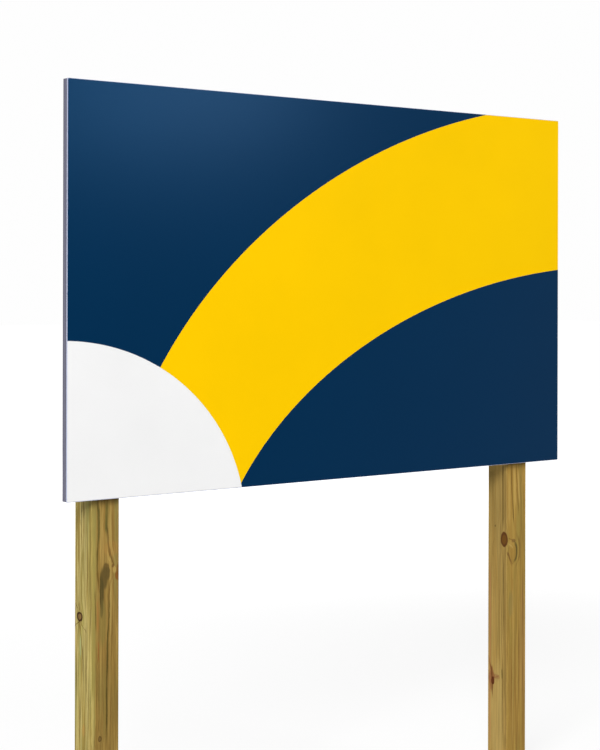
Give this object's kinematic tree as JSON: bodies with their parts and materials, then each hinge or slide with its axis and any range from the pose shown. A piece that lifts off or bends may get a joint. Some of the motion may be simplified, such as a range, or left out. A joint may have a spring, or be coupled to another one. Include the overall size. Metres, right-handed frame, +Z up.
{
  "type": "advertising board",
  "caption": "Landscape advertising board: flat printed composite face on an aluminium tube frame, bolted behind to two square timber posts that stand on the ground.",
  "frame": {"origin": "bottom centre of the bounding box, on the ground between the two posts", "axes": "+X along the board, from the left to the right of someone who looks at the print; +Y from the printed face to the rear of the posts, so the print looks towards -Y; +Z up"},
  "size_m": [2, 0.1274, 2.3],
  "materials": {
    "white_film": "satin",
    "yellow_film": "satin",
    "navy_film": "satin",
    "composite_sheet": "satin",
    "foam_tape": "matte",
    "frame_aluminium": "satin",
    "corner_key": "matte",
    "rivet": "satin",
    "treated_pine": "matte",
    "zinc_plated_steel": "satin"
  },
  "bodies": {
    "root": {"white_film": "white_film", "yellow_film": "yellow_film", "navy_film_lower": "navy_film", "navy_film_upper": "navy_film", "face_sheet": "composite_sheet", "foam_tape_top": "foam_tape", "foam_tape_bottom": "foam_tape", "foam_tape_left": "foam_tape", "foam_tape_right": "foam_tape", "foam_tape_upper_rail": "foam_tape", "foam_tape_lower_rail": "foam_tape", "frame_top": "frame_aluminium", "frame_bottom": "frame_aluminium", "frame_left": "frame_aluminium", "frame_right": "frame_aluminium", "corner_key_top_left": "corner_key", "corner_key_top_right": "corner_key", "corner_key_bottom_left": "corner_key", "corner_key_bottom_right": "corner_key", "cross_rail_upper": "frame_aluminium", "cross_rail_lower": "frame_aluminium", "rail_cleat_upper_left": "frame_aluminium", "rail_cleat_upper_right": "frame_aluminium", "rail_cleat_lower_left": "frame_aluminium", "rail_cleat_lower_right": "frame_aluminium", "cleat_rivet_upper_left_stile": "rivet", "cleat_rivet_upper_left_rail": "rivet", "cleat_rivet_upper_right_stile": "rivet", "cleat_rivet_upper_right_rail": "rivet", "cleat_rivet_lower_left_stile": "rivet", "cleat_rivet_lower_left_rail": "rivet", "cleat_rivet_lower_right_stile": "rivet", "cleat_rivet_lower_right_rail": "rivet", "post_left": "treated_pine", "post_right": "treated_pine", "post_bolt_upper_left": "zinc_plated_steel", "post_bolt_upper_right": "zinc_plated_steel", "post_bolt_lower_left": "zinc_plated_steel", "post_bolt_lower_right": "zinc_plated_steel", "bolt_washer_upper_left": "zinc_plated_steel", "bolt_washer_upper_right": "zinc_plated_steel", "bolt_washer_lower_left": "zinc_plated_steel", "bolt_washer_lower_right": "zinc_plated_steel", "rivet_nut_upper_left": "zinc_plated_steel", "rivet_nut_upper_right": "zinc_plated_steel", "rivet_nut_lower_left": "zinc_plated_steel", "rivet_nut_lower_right": "zinc_plated_steel"}
  },
  "joints": []
}
